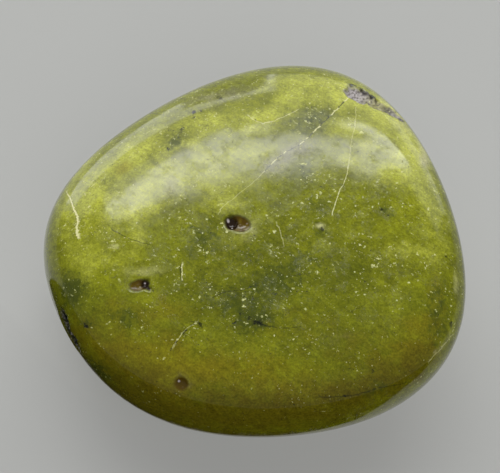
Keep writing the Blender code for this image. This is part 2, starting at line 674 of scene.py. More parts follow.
HOLLOWS = {
    "middle_pit": Hollow(Form.BOWL, -154.6, 72.4, 1.42, 1.26, 0.62, 93, 0.02),
    "middle_pit_shelf": Hollow(Form.SHELF, -143.4, 75.7, 2.26, 1.64, 0.26, -20, 0.02),
    "left_pit": Hollow(Form.BOWL, -145.1, 29.0, 0.92, 0.82, 0.50, 79, 0.04),
    "left_pit_shelf": Hollow(Form.SHELF, -145.8, 27.8, 1.80, 1.10, 0.20, 10, 0.03),
    "left_pit_tail": Hollow(Form.BOWL, -142.6, 28.9, 0.72, 0.38, 0.30, -52),
    "front_pit": Hollow(Form.DIMPLE, -112.3, 15.1, 1.36, 1.26, 0.36, -8, 0.02),
    "top_slit": Hollow(Form.SLIT, -137.9, 38.1, 1.20, 0.14, 0.06, 90, 0.0),
    "corner_chip": Hollow(Form.CHIP, 53.7, 22.0, 2.80, 2.20, 0.50, -38, 0.10),
    "corner_chip_tail": Hollow(Form.CHIP, 47.3, 21.0, 2.50, 1.70, 0.36, -42, 0.10),
    "corner_nick": Hollow(Form.CHIP, 42.7, 19.1, 1.70, 1.40, 0.36, -56, 0.11),
    "corner_nick_tail": Hollow(Form.CHIP, 39.9, 17.8, 1.10, 0.95, 0.26, -62, 0.11),
    "left_chip": Hollow(Form.CHIP, -153.3, 2.4, 3.60, 3.00, 0.60, 50, 0.10),
    "left_chip_low": Hollow(Form.CHIP, -150.2, 1.4, 2.00, 2.60, 0.50, 55, 0.10),
    "left_chip_top": Hollow(Form.CHIP, -155.8, 6.4, 1.20, 1.90, 0.36, 63, 0.10),
    "back_pit": Hollow(Form.BOWL, 118.0, -4.0, 1.20, 0.90, 0.50, 20),
    "right_pit": Hollow(Form.DIMPLE, -8.0, -22.0, 0.90, 0.80, 0.40, 60),
    "underside_pit": Hollow(Form.DIMPLE, 205.0, -58.0, 1.10, 0.80, 0.45, 35),
}

GATHERS = (
    Gather(-146, 74, 0.16, 0.60),
    Gather(-145, 28.5, 0.12, 0.65),
    Gather(-112, 15, 0.10, 0.60),
    Gather(49, 21, 0.17, 0.68),
    Gather(-153, 2.5, 0.16, 0.68),
    Gather(118, -4, 0.09, 0.55),
    Gather(-8, -22, 0.08, 0.50),
    Gather(205, -58, 0.08, 0.50),
)

PATCHES: dict[Tint, tuple[SoftPatch, ...]] = {
    # Dark green clouds: over the top right, in the middle, at the left edge, low right, and behind.
    Tint.DARK: (
        Patch((310, 120), 27, 15, 0.68, 25),
        Patch((305, 172), 12, 12, 0.6),
        Patch((176, 141), 13, 8, 0.8, 55),
        Patch((203, 236), 17, 16, 0.7),
        Patch((222, 278), 62, 52, 0.32),
        Patch((340, 285), 40, 34, 0.26),
        Patch((440, 330), 10, 26, 0.45),
        Patch((243, 256), 12, 10, 0.4),
        Patch((278, 282), 30, 16, 0.8, 12),
        Patch((238, 302), 24, 13, 0.6),
        Patch((254, 320), 22, 14, 1.0, 15),
        Patch((300, 258), 28, 12, 0.5, 20),
        Patch((72, 290), 14, 16, 1.0),
        Patch((124, 316), 14, 11, 0.7),
        Patch((321, 232), 8, 9, 0.6, -60),
        Patch((386, 212), 8, 13, 0.6, 30),
        Patch((318, 203), 20, 10, 0.4),
        Patch((98, 371), 20, 8, 0.8, -45),
        Patch((438, 298), 12, 22, 0.55),
        Patch((85, 325), 8, 8, 0.6),
        Patch((378, 388), 16, 7, 0.5, 30),
        HiddenPatch(60, -18, 4.2, 2.6, 0.9),
        HiddenPatch(128, -12, 3.6, 2.2, 0.8),
        HiddenPatch(168, -28, 3.0, 4.0, 0.9),
        HiddenPatch(-100, -30, 5.0, 2.6, 0.7),
        HiddenPatch(-40, -34, 3.4, 2.2, 0.9),
        HiddenPatch(20, -60, 4.0, 3.0, 0.7),
    ),
    # Deeper olive in the middle and towards the edges.
    Tint.DEEP: (
        Patch((188, 305), 44, 32, 0.5),
        Patch((168, 330), 20, 18, 0.6),
        Patch((196, 250), 14, 12, 0.5),
        Patch((270, 246), 14, 9, 0.6),
        Patch((240, 300), 14, 22, 0.25, 20),
        Patch((360, 268), 16, 14, 0.5),
        Patch((377, 172), 20, 9, 0.8),
        Patch((284, 150), 16, 18, 0.5, -30),
        Patch((222, 200), 10, 10, 0.5),
        Patch((165, 179), 22, 9, 0.4, 30),
        Patch((320, 208), 18, 14, 0.6),
        Patch((245, 84), 28, 7, 0.6, 16),
        Patch((434, 325), 14, 20, 0.6),
        Patch((92, 328), 12, 12, 0.8),
        Patch((70, 290), 12, 18, 0.6),
        Patch((300, 235), 60, 30, 0.25),
        Patch((345, 320), 30, 20, 0.3),
        Patch((150, 250), 10, 20, 0.35),
        Patch((168, 250), 20, 28, 0.45),
        Patch((265, 295), 54, 34, 0.6),
        Patch((300, 170), 18, 50, 0.5, -18),
        Patch((345, 345), 54, 40, 0.6, 15),
        Patch((345, 270), 40, 26, 0.35),
        Patch((375, 385), 30, 16, 0.6, 30),
        Patch((420, 310), 26, 30, 0.5),
        Patch((80, 305), 24, 24, 0.6),
        Patch((120, 318), 22, 16, 0.5),
        Patch((355, 352), 26, 22, 0.45),
    ),
    # Small black spots, and painted shadow along the chips' upper edges.
    Tint.INK: (
        Patch((194, 112), 3.0, 2.0, 0.9, 20),
        Patch((201, 111), 3.0, 1.6, 0.8),
        Patch((194, 118), 1.6, 3.0, 0.7),
        Patch((182, 130), 1.8, 5.0, 1.0, -20),
        Patch((168, 149), 2.4, 2.0, 0.8),
        Patch((220, 98), 3.4, 1.8, 0.9),
        Patch((257, 322), 8.0, 4.0, 0.75, 15),
        Patch((251, 317), 5.0, 3.0, 0.7, 30),
        Patch((263, 325), 5.0, 2.0, 0.7),
        # Painted shadow along the upper edge of the corner chip.
        Patch((353, 85.2), 8.0, 1.2, 0.8, -20),
        Patch((366, 91.4), 9.0, 0.9, 0.8, -33),
        Patch((374, 97.0), 5.0, 0.9, 0.8, -38),
        Patch((388, 109), 2.2, 1.8, 0.8),
        Patch((240, 313), 1.4, 3.0, 0.8),
        Patch((86, 325.7), 3.2, 3.2, 1.0),
        Patch((451, 324), 1.8, 4.0, 0.9),
        Patch((446, 257), 1.8, 1.4, 0.9, 20),
        Patch((382, 210), 2.6, 2.0, 0.8, -30),
        Patch((388, 215), 2.0, 3.0, 0.6, 30),
        Patch((200, 325), 2.6, 2.8, 0.9),
        Patch((322, 229), 2.2, 4.6, 0.8, 20),
        Patch((345, 396), 3.0, 1.4, 0.9, 5),
        Patch((423, 167), 1.6, 1.4, 0.9),
        HiddenPatch(74, -16, 0.34, 0.22, 0.9),
        HiddenPatch(124, -14, 0.26, 0.40, 0.9),
        HiddenPatch(-96, -26, 0.40, 0.24, 0.9),
        HiddenPatch(-44, -30, 0.24, 0.24, 0.9),
    ),
    # Brown in the lower part and around the sides.
    Tint.BROWN: (
        Patch((122, 168), 13, 7, 0.6, 30),
        Patch((150, 352), 50, 15, 0.8),
        Patch((106, 358), 16, 16, 0.8),
        Patch((200, 370), 55, 16, 0.9),
        Patch((272, 374), 45, 20, 0.5),
        Patch((300, 396), 50, 12, 0.5),
        Patch((160, 385), 40, 16, 0.8, -30),
        Patch((415, 350), 24, 30, 0.6, -40),
        Patch((85, 335), 24, 20, 0.6, -45),
        Patch((420, 322), 16, 9, 0.5),
        Patch((355, 350), 28, 22, 0.3),
        Patch((165, 312), 24, 18, 0.5),
        Patch((120, 306), 16, 12, 0.4),
        Patch((300, 325), 110, 26, 0.22),
        Patch((436, 300), 10, 34, 0.4),
        Patch((385, 378), 30, 18, 0.4, 30),
        HiddenPatch(96, -6, 7.0, 3.0, 0.7),
        HiddenPatch(150, -40, 6.0, 4.0, 0.7),
        HiddenPatch(-70, -28, 8.0, 4.0, 0.8),
        HiddenPatch(-130, -20, 7.0, 4.0, 0.7),
        HiddenPatch(0, -20, 5.0, 4.0, 0.6),
    ),
    # Dark brown along the lower edge: partly the stone's own brown, partly painted shade where the lower
    # flank turns away from the light.
    Tint.BROWN_SHADE: (
        Patch((250, 415), 115, 19, 1.0),
        Patch((140, 393), 44, 14, 0.9, -35),
        Patch((352, 400), 62, 17, 0.75, 22),
        Patch((418, 364), 32, 15, 0.8, 45),
        HiddenPatch(-100, -14, 11.0, 4.6, 1.0),
        HiddenPatch(-140, -10, 7.0, 4.0, 0.9),
        HiddenPatch(-62, -16, 9.0, 3.6, 0.9),
    ),
    # Pale green along the upper edges and under the bright band: partly the stone's own lighter lime, partly
    # painted light on the upper side and in thin strips along the outline.
    Tint.PALE: (
        Patch((112, 250), 36, 20, 0.35),
        Patch((68, 222), 12, 30, 0.4),
        Patch((64, 196), 7, 26, 0.4, -22),
        Patch((86, 163), 7, 22, 0.8, -42),
        Patch((85, 262), 12, 24, 0.5),
        Patch((92, 200), 18, 20, 0.9, -20),
        Patch((130, 158), 44, 13, 0.9, 35),
        Patch((148, 187), 44, 17, 0.65, 32),
        Patch((135, 212), 28, 8, 0.7, 15),
        Patch((210, 162), 46, 14, 0.5, 12),
        Patch((265, 152), 26, 10, 0.4),
        Patch((216, 183), 42, 12, 0.6),
        Patch((225, 203), 22, 10, 0.6),
        Patch((236, 238), 16, 7, 0.3),
        Patch((205, 122), 26, 9, 0.7, 15),
        Patch((262, 117), 28, 8, 0.9, 10),
        Patch((290, 100), 18, 10, 0.7),
        Patch((345, 98), 36, 12, 0.9, -12),
        Patch((345, 127), 22, 9, 0.8),
        Patch((385, 113), 22, 12, 1.0, -38),
        Patch((412, 152), 14, 28, 1.0, 20),
        Patch((350, 160), 14, 9, 0.6),
        Patch((388, 172), 26, 12, 0.8),
        Patch((430, 195), 14, 32, 0.35, 15),
        Patch((436, 250), 16, 28, 0.4),
        Patch((405, 250), 26, 9, 0.4),
        Patch((310, 82), 60, 8, 0.6, -6),
        Patch((172, 380), 28, 12, 0.3),
        Patch((230, 358), 40, 16, 0.15),
        Patch((364, 83), 26, 5, 1.0, -27),
        Patch((187, 142), 30, 5, 0.6, 25),
        Patch((250, 129), 24, 5, 0.6),
        Patch((366, 145), 14, 9, 0.6),
        Patch((138, 232), 8, 18, 0.5),
        HiddenPatch(80, 4, 6.0, 2.6, 0.6),
        HiddenPatch(-160, -24, 5.0, 3.0, 0.5),
        HiddenPatch(30, -30, 5.0, 3.0, 0.6),
    ),
    # A purple haze on the crack and at the upper edge.
    Tint.PURPLE: (
        Patch((218, 97), 40, 8, 0.6, 16),
        Patch((281, 160), 24, 9, 0.8, 35),
        Patch((300, 148), 16, 10, 0.6, 20),
        Patch((170, 185), 9, 13, 0.6),
        Patch((425, 161), 4, 8, 1.0, 20),
        Patch((334, 340), 22, 8, 0.2, 20),
        Patch((352, 178), 30, 8, 0.2),
        HiddenPatch(112, 6, 4.0, 1.6, 0.7),
        HiddenPatch(-20, -48, 3.6, 2.0, 0.6),
    ),
    # Cream halos at the pits and the chip, and painted light in thin strips along the right edges.
    Tint.HALO: (
        Patch((144, 271), 20, 6, 0.4, 4),
        Patch((240, 226), 18, 14, 0.5),
        Patch((181, 382), 12, 10, 0.22),
        Patch((366, 85), 26, 4, 0.5, -30),
        Patch((398, 116), 24, 4, 0.6, -48),
        # Painted light on the right edge.
        Patch((424, 152), 4, 24, 0.6, 22),
        Patch((114, 246), 5, 3, 0.65, -10),
        Patch((320, 226), 5, 3, 0.9),
        # Painted light along the right and lower right edges.
        Patch((456, 282), 3, 16, 0.5),
        Patch((442, 346), 3, 18, 0.4, -40),
    ),
    # Painted glints in the pits and the dimple: highlights laid into the colour.
    Tint.SPARK: (
        Patch((178.3, 381.6), 1.3, 2.0, 0.39, 20),
        Patch((228.0, 218.6), 1.5, 1.7, 1.0),
        Patch((231.8, 225.2), 1.0, 1.0, 0.8),
        Patch((247.0, 222.6), 2.2, 1.8, 0.45),
        Patch((144.2, 281.2), 1.1, 1.1, 0.9),
        Patch((148.6, 288.6), 0.9, 0.9, 0.6),
        Patch((178.0, 382.0), 1.5, 1.5, 0.6),
    ),
    # Pale floors of the corner chips.
    Tint.CHALK: (
        Patch((356.5, 92), 16, 9, 1.0, -22),
        Patch((396, 115), 8, 5, 0.8, -35),
        HiddenPatch(53.7, 20, 1.6, 1.6, 0.8),
    ),
    # The sandy floor between them.
    Tint.BEIGE: (
        Patch((377, 105), 13, 10, 1.0, -40),
    ),
}

THIN_LINES = (
    ThinLine(Line.WHITE, ((355.6, 108), (355.4, 123), (353.5, 134), (350.8, 144), (349.3, 157), (348.5, 167)),
         0.05, 0.06, 0.5),
    ThinLine(Line.WHITE, ((348.5, 167), (346, 177), (343.6, 183.5), (339.7, 191), (336.7, 199), (334, 209),
                      (332, 215)), 0.06, 0.07, 0.8),
    ThinLine(Line.WHITE, ((349.3, 157), (346, 160.5), (342, 162)), 0.06, 0.04, 0.5),
    ThinLine(Line.WHITE, ((66.5, 192), (70.3, 199), (72.5, 206), (75, 211), (76.5, 215)), 0.07, 0.17, 1.0),
    ThinLine(Line.WHITE, ((76.5, 215), (77.8, 220), (77.6, 225), (76.8, 230), (77.5, 235), (79.5, 238)),
         0.16, 0.30),
    ThinLine(Line.WHITE, ((198, 321.5), (188, 328), (180, 336), (172.5, 347.5)), 0.05, 0.07, 0.25),
    ThinLine(Line.BEADS, ((198, 321.5), (188, 328), (180, 336), (172.5, 347.5), (162, 360)), 0.34, 0.26, 0.85),
    ThinLine(Line.BEADS, ((250, 212), (250, 222), (249, 232)), 0.30, 0.24, 0.45),
    ThinLine(Line.BEADS, ((263, 228), (263, 233), (263, 238)), 0.24, 0.24, 0.45),
    ThinLine(Line.BEADS, ((273, 227), (275, 236), (272, 246), (276, 256)), 0.30, 0.24, 0.50),
    ThinLine(Line.BEADS, ((254, 234), (249, 247), (246, 258), (242, 270)), 0.30, 0.30, 0.45),
    ThinLine(Line.BEADS, ((252, 273), (253, 281), (255, 287)), 0.42, 0.30, 0.50),
    ThinLine(Line.BEADS, ((213, 225), (211, 238), (207, 252), (207, 268)), 0.30, 0.24, 0.40),
    ThinLine(Line.BEADS, ((188, 218), (194, 232), (200, 250), (196, 258)), 0.36, 0.30, 0.40),
    ThinLine(Line.BEADS, ((220, 252), (224, 249), (229, 251), (230, 254)), 0.24, 0.18, 0.50),
    ThinLine(Line.BEADS, ((244, 293), (243, 300), (243, 308)), 0.36, 0.30, 0.50),
    ThinLine(Line.BEADS, ((247, 321), (256, 318), (266, 315), (272, 320)), 0.42, 0.30, 0.50),
    ThinLine(Line.BEADS, ((300, 282), (302, 286), (298, 292)), 0.48, 0.36, 0.50),
    ThinLine(Line.BEADS, ((186, 330), (192, 328), (200, 328)), 0.48, 0.30, 0.45),
    ThinLine(Line.BEADS, ((205, 268), (208, 280), (212, 292)), 0.30, 0.24, 0.30),
    ThinLine(Line.BEADS, ((292, 218), (298, 223), (300, 230)), 0.30, 0.24, 0.30),
    ThinLine(Line.BEADS, ((318, 224), (324, 225), (330, 228)), 0.42, 0.30, 0.50),
    ThinLine(Line.BEADS, ((82, 246), (90, 254), (96, 262)), 0.36, 0.30, 0.30),
    ThinLine(Line.BEADS, ((112, 244), (118, 247), (112, 248)), 0.30, 0.30, 0.40),
    ThinLine(Line.BEADS, ((164, 224), (172, 228), (180, 230)), 0.48, 0.36, 0.35),
    ThinLine(Line.BEADS, ((341, 96), (348, 112), (352, 126)), 0.48, 0.36, 0.40),
    ThinLine(Line.BEADS, ((292, 120), (300, 132), (296, 146)), 0.42, 0.36, 0.40),
    # A painted reflection: the pale lower edge of a mirrored strip along the top of the bright band.
    ThinLine(Line.WHITE, ((248, 115.5), (255, 120.5), (263, 123.5), (275, 120), (287, 115.5), (298, 109.5)),
         0.08, 0.06, 0.5),
    ThinLine(Line.WHITE, ((182.2, 265), (182.2, 272), (182, 279)), 0.10, 0.06, 0.9),
    ThinLine(Line.WHITE, ((276, 222), (281, 234), (284, 246)), 0.08, 0.05, 0.35),
    # A painted reflection: a pale streak where the lower right flank mirrors the floor.
    ThinLine(Line.WHITE, ((429, 361), (440, 350), (453, 334)), 0.12, 0.05, 0.35),
    ThinLine(Line.WHITE, ((219, 213), (223, 206), (236, 196), (250.5, 185), (263, 172.5)), 0.06, 0.04, 0.4),
    ThinLine(Line.CRACK, ((263, 172.5), (282, 154), (296, 147), (306, 139), (316, 129.5), (319, 127), (328, 118),
                      (335, 111), (343, 103), (348, 98)), 0.07, 0.11, 0.8),
    ThinLine(Line.DARK, ((213, 297), (226, 292), (243, 289.5), (258, 285)), 0.10, 0.06, 0.6),
    ThinLine(Line.DARK, ((110, 229), (122, 235), (135, 241), (150, 245)), 0.10, 0.06, 0.8),
    ThinLine(Line.DARK, ((319, 397), (332, 397), (345, 396), (362, 393), (380, 388), (405, 383)),
         0.12, 0.10, 0.6),
    ThinLine(Line.DARK, ((262, 325), (272, 327), (285, 328), (300, 327)), 0.14, 0.06, 0.7),
    ThinLine(Line.DARK, ((196, 321), (199, 324), (202, 327)), 0.20, 0.14, 0.7),
    ThinLine(Line.DARK, ((352, 311), (359, 308), (367, 303)), 0.14, 0.06, 0.5),
    ThinLine(Line.DARK, ((181, 265), (180.6, 272), (180.8, 279)), 0.10, 0.10, 0.8),
    ThinLine(Line.DARK, ((288, 277), (300, 274.5), (318, 272)), 0.07, 0.04, 0.45),
)


# A noise goes from 0 to 1, but mostly stays between these.
NOISE_RANGE = (0.3, 0.7)


class Board:
    """A node tree being laid out: it adds nodes, sets their values and joins them."""

    def __init__(self, tree: Tree) -> None:
        """Keep the tree that the nodes go in."""
        self.tree = tree

    def feed(self, socket: Socket, value: Value) -> None:
        """Fill an input.

        Args:
            socket: The input.
            value: The socket that it is joined to, or the value that it is set to.
        """
        if isinstance(value, Socket):
            self.tree.links.new(value, socket)
        else:
            socket.default_value = value

    def node(self, kind: str, inputs: dict[str | int, Value], **settings: object) -> bpy.types.Node:
        """Add a node.

        Args:
            kind: Its type without the ShaderNode in front.
            inputs: What goes into its sockets, by name or number.
            **settings: Its other properties.

        Returns:
            The node.
        """
        node = self.tree.nodes.new(f"ShaderNode{kind}")
        for name, value in settings.items():
            setattr(node, name, value)
        for key, value in inputs.items():
            self.feed(node.inputs[key], value)
        return node

    def group(self, tree: Tree, inputs: dict[str, Value]) -> bpy.types.NodeOutputs:
        """Place a node group with its own values.

        Args:
            tree: The group.
            inputs: What goes into its sockets, by name.

        Returns:
            Its outputs.
        """
        node = self.tree.nodes.new("ShaderNodeGroup")
        node.node_tree = tree
        for key, value in inputs.items():
            self.feed(node.inputs[key], value)
        return node.outputs

    def attribute(self, name: str, output: str = "Fac") -> Socket:
        """Return an attribute of the mesh."""
        return self.node("Attribute", {}, attribute_name=name).outputs[output]

    def math(self, operation: str, first: Value, second: Value = 0.0, clamp: bool = False) -> Socket:
        """Return the result of a Math node on two numbers."""
        return self.node("Math", {0: first, 1: second}, operation=operation, use_clamp=clamp).outputs[0]

    def plus(self, first: Value, second: Value) -> Socket:
        """Return first + second."""
        return self.math("ADD", first, second)

    def minus(self, first: Value, second: Value) -> Socket:
        """Return first - second."""
        return self.math("SUBTRACT", first, second)

    def times(self, first: Value, second: Value) -> Socket:
        """Return first * second."""
        return self.math("MULTIPLY", first, second)

    def most(self, first: Value, second: Value) -> Socket:
        """Return the larger of two numbers."""
        return self.math("MAXIMUM", first, second)

    def step(self, value: Value, low: Value, high: Value) -> Socket:
        """Return a smooth step from 0 at low to 1 at high; low may be the larger of the two."""
        inputs = {"Value": value, "From Min": low, "From Max": high}
        return self.node("MapRange", inputs, interpolation_type="SMOOTHSTEP").outputs[0]

    def spread(self, value: Value, low: float, high: float, bottom: float, top: float) -> Socket:
        """Return value, taken straight from the range low to high to the range bottom to top."""
        inputs = {"Value": value, "From Min": low, "From Max": high, "To Min": bottom, "To Max": top}
        return self.node("MapRange", inputs).outputs[0]

    def swing(self, noise: Value, bottom: float, top: float) -> Socket:
        """Return a noise, with the range that it mostly keeps to taken to the range bottom to top."""
        return self.spread(noise, *NOISE_RANGE, bottom, top)

    def paint(self, share: Value, under: Value, over: Value) -> Socket:
        """Return the colour under with the colour over laid on it by a share."""
        return self.node("Mix", {0: share, 6: under, 7: over}, data_type="RGBA").outputs[2]

    def scaled(self, vector: Value, factor: Value) -> Socket:
        """Return a place or colour, each of its parts times a factor."""
        return self.node("VectorMath", {0: vector, "Scale": factor}, operation="SCALE").outputs[0]

    def parts(self, vector: Value) -> bpy.types.NodeOutputs:
        """Return the three parts of a vector."""
        return self.node("SeparateXYZ", {0: vector}).outputs

    def noise(
        self, place: Value, scale: float, detail: float = 2.0, roughness: float = 0.5, distortion: float = 0.0
    ) -> Socket:
        """Make a cloudy noise.

        Args:
            place: Where it is read.
            scale: Its waves in a millimetre.
            detail: How many times finer waves are added.
            roughness: How strong the finer waves are.
            distortion: How far it is bent by itself.

        Returns:
            The noise, which swings around 0.5.
        """
        inputs = {
            "Vector": place, "Scale": scale, "Detail": detail, "Roughness": roughness,
            "Distortion": distortion,
        }
        return self.node("TexNoise", inputs).outputs["Fac"]

    def stretched(self, place: Value, turn: Triple, stretch: Triple) -> Socket:
        """Turn a place and then stretch it.

        Args:
            place: The place.
            turn: Degrees around its three axes.
            stretch: Factors along them, after the turn.

        Returns:
            The new place.
        """
        angles = tuple(map(math.radians, turn))
        turned = self.node("VectorRotate", {"Vector": place, "Rotation": angles}, rotation_type="EULER_XYZ")
        return self.node("VectorMath", {0: turned.outputs[0], 1: stretch}, operation="MULTIPLY").outputs[0]

    def bent(self, place: Value, scale: float, amount: float) -> Socket:
        """Move a place about by a noise of three parts.

        Args:
            place: The place.
            scale: The noise's waves in a millimetre.
            amount: How far it moves, in millimetres.

        Returns:
            The new place.
        """
        drift = self.node("TexNoise", {"Vector": place, "Scale": scale}).outputs["Color"]
        centred = self.node("VectorMath", {0: drift, 1: (0.5, 0.5, 0.5)}, operation="SUBTRACT").outputs[0]
        moved = self.scaled(centred, amount)
        return self.node("VectorMath", {0: place, 1: moved}, operation="ADD").outputs[0]


def new_group(
    name: str, inputs: dict[str, str], outputs: dict[str, str]
) -> tuple[Board, dict[str, Socket], dict[str, Socket]]:
    """Start a node group.

    Args:
        name: The group's name.
        inputs: Its input sockets, name to type, the type without NodeSocket in front.
        outputs: Its output sockets in the same way.

    Returns:
        A board for its nodes, its inputs as sockets to read, and its outputs as sockets to feed.
    """
    tree = bpy.data.node_groups.new(name, "ShaderNodeTree")
    for way, sockets in (("INPUT", inputs), ("OUTPUT", outputs)):
        for socket, kind in sockets.items():
            tree.interface.new_socket(name=socket, in_out=way, socket_type=f"NodeSocket{kind}")
    given = tree.nodes.new("NodeGroupInput").outputs
    out = tree.nodes.new("NodeGroupOutput").inputs
    return Board(tree), {key: given[key] for key in inputs}, {key: out[key] for key in outputs}


class Effects:
    """The node groups that the stone's finish is put together from, each made once."""

    def __init__(self) -> None:
        """Make all the groups."""
        self.specks = self._specks()
        self.ragged = self._ragged()
        self.hairline = self._hairline()
        self.scratches = self._scratches()

    @staticmethod
    def _specks() -> Tree:
        """Make small grains: round cells of a Voronoi pattern, of which a share is kept.

        Each cell's colour draws three numbers: whether it is kept, its size, and its tone.

        Returns:
            The group.
        """
        board, given, out = new_group(
            "grain_specks",
            {"Place": "Vector", "Scale": "Float", "Size": "Float", "Share": "Float"},
            {"Mask": "Float", "Tone": "Float"},
        )
        cells = board.node("TexVoronoi", {"Vector": given["Place"], "Scale": given["Scale"]}).outputs
        chance, girth, tone = board.node("SeparateColor", {0: cells["Color"]}).outputs
        size = board.times(given["Size"], board.spread(girth, 0.0, 1.0, 0.45, 1.0))
        grain = board.step(cells["Distance"], size, board.times(size, 0.5))
        kept = board.math("LESS_THAN", chance, given["Share"])
        board.feed(out["Mask"], board.times(grain, kept))
        board.feed(out["Tone"], tone)
        return board.tree

    @staticmethod
    def _ragged() -> Tree:
        """Make a soft mask ragged: it is moved up and down by noise, and then cut at an edge.

        Where the mask itself is nearly 0, nothing is left, however high the noise.

        Returns:
            The group.
        """
        board, given, out = new_group(
            "ragged_cloud",
            {"Place": "Vector"} | dict.fromkeys(("Mask", "Scale", "Tear", "Edge", "Soft"), "Float"),
            {"Mask": "Float"},
        )
        inputs = {"Vector": given["Place"], "Scale": given["Scale"], "Detail": 6.0, "Roughness": 0.68}
        clouds = board.node("TexNoise", inputs).outputs["Fac"]
        moved = board.plus(given["Mask"], board.times(board.minus(clouds, 0.5), given["Tear"]))
        low = board.minus(given["Edge"], given["Soft"])
        high = board.plus(given["Edge"], given["Soft"])
        present = board.step(given["Mask"], 0.0, 0.25)
        board.feed(out["Mask"], board.times(board.step(moved, low, high), present))
        return board.tree

    @staticmethod
    def _hairline() -> Tree:
        """Draw a thin line where its field lies between -1 and 1, wavering and broken up.

        The field's three parts are the signed distance over half the line's width, the gate and
        the strength. One noise moves the line sideways, a second makes it thick and thin, and a
        third leaves gaps.

        Returns:
            The group.
        """
        board, given, out = new_group(
            "hairline",
            {"Place": "Vector", "Field": "Vector", "Waver": "Float", "Breaks": "Float"},
            {"Mask": "Float"},
        )
        place = given["Place"]
        across, gate, strength = board.parts(given["Field"])
        sideways = board.minus(board.noise(place, 4.5, 3.0), 0.5)
        thinness = board.swing(board.noise(place, 5.5), 0.35, 1.5)
        moved = board.plus(across, board.times(sideways, given["Waver"]))
        away = board.times(board.math("ABSOLUTE", moved), thinness)
        line = board.times(board.step(away, 1.25, 0.45), board.step(gate, 0.0, 0.6))
        gaps_end = given["Breaks"]
        unbroken = board.step(board.noise(place, 2.2, 3.0), board.minus(gaps_end, 0.12), gaps_end)
        board.feed(out["Mask"], board.times(board.times(line, unbroken), strength))
        return board.tree

    @staticmethod
    def _scratches() -> Tree:
        """Make fine scratches of the tumbling: two sets of thin ridges of long drawn-out noise.

        Returns:
            The group.
        """
        board, given, out = new_group(
            "fine_scratches", {"Place": "Vector", "Amount": "Float"}, {"Mask": "Float"}
        )
        sets = []
        for turn, stretch in (((0, 0, 38), (0.5, 9.0, 0.5)), ((10, 20, -52), (0.4, 7.0, 0.6))):
            fibres = board.noise(board.stretched(given["Place"], turn, stretch), 1.0, 2.0, 0.6)
            sets.append(board.step(board.math("ABSOLUTE", board.minus(fibres, 0.5)), 0.012, 0.0))
        patchy = board.step(board.noise(given["Place"], 0.7), 0.5, 0.62)
        board.feed(out["Mask"], board.times(board.times(board.most(*sets), patchy), given["Amount"]))
        return board.tree


@dataclass(frozen=True)
class Tear:
    """How noise tears a soft mask to a ragged cloud.

    scale is the noise's waves in a millimetre, and pull says how far it moves the mask up and
    down. The mask is then cut where it crosses edge, over soft to either side.
    """

    scale: float
    pull: float
    edge: float
    soft: float


class StoneBoard(Board):
    """The node tree of a stone's material, with its masks and the shared effects at hand."""

    def __init__(self, tree: Tree, effects: Effects) -> None:
        """Keep the effects, and find the place on the stone in millimetres."""
        super().__init__(tree)
        self.effects = effects
        self.place = self.scaled(self.node("TexCoord", {}).outputs["Object"], 1.0 / MM)

    def grain(self, scale: float, detail: float = 2.0, roughness: float = 0.5) -> Socket:
        """Return a cloudy noise all over the stone."""
        return self.noise(self.place, scale, detail, roughness)

    def tint(self, tint: Tint) -> Socket:
        """Return a tint's soft mask."""
        return self.attribute(tint.value)

    def hollow(self, form: Form) -> Socket:
        """Return the mask of the hollows of one form."""
        return self.attribute(form.mask)

    def cloud(self, tint: Tint, tear: Tear) -> Socket:
        """Tear a tint's mask to ragged clouds.

        Args:
            tint: The tint.
            tear: How it is torn.

        Returns:
            The torn mask.
        """
        inputs = {"Scale": tear.scale, "Tear": tear.pull, "Edge": tear.edge, "Soft": tear.soft}
        return self.group(self.effects.ragged, {"Place": self.place, "Mask": self.tint(tint), **inputs})[0]

    def hairline(self, line: Line, waver: float, breaks: float) -> Socket:
        """Draw the lines of one kind.

        Args:
            line: The kind.
            waver: How far a line strays sideways, in half widths.
            breaks: The height of noise below which it is missing.

        Returns:
            The lines' mask.
        """
        inputs = {"Field": self.attribute(line.value, "Vector"), "Waver": waver, "Breaks": breaks}
        return self.group(self.effects.hairline, {"Place": self.place, **inputs})[0]


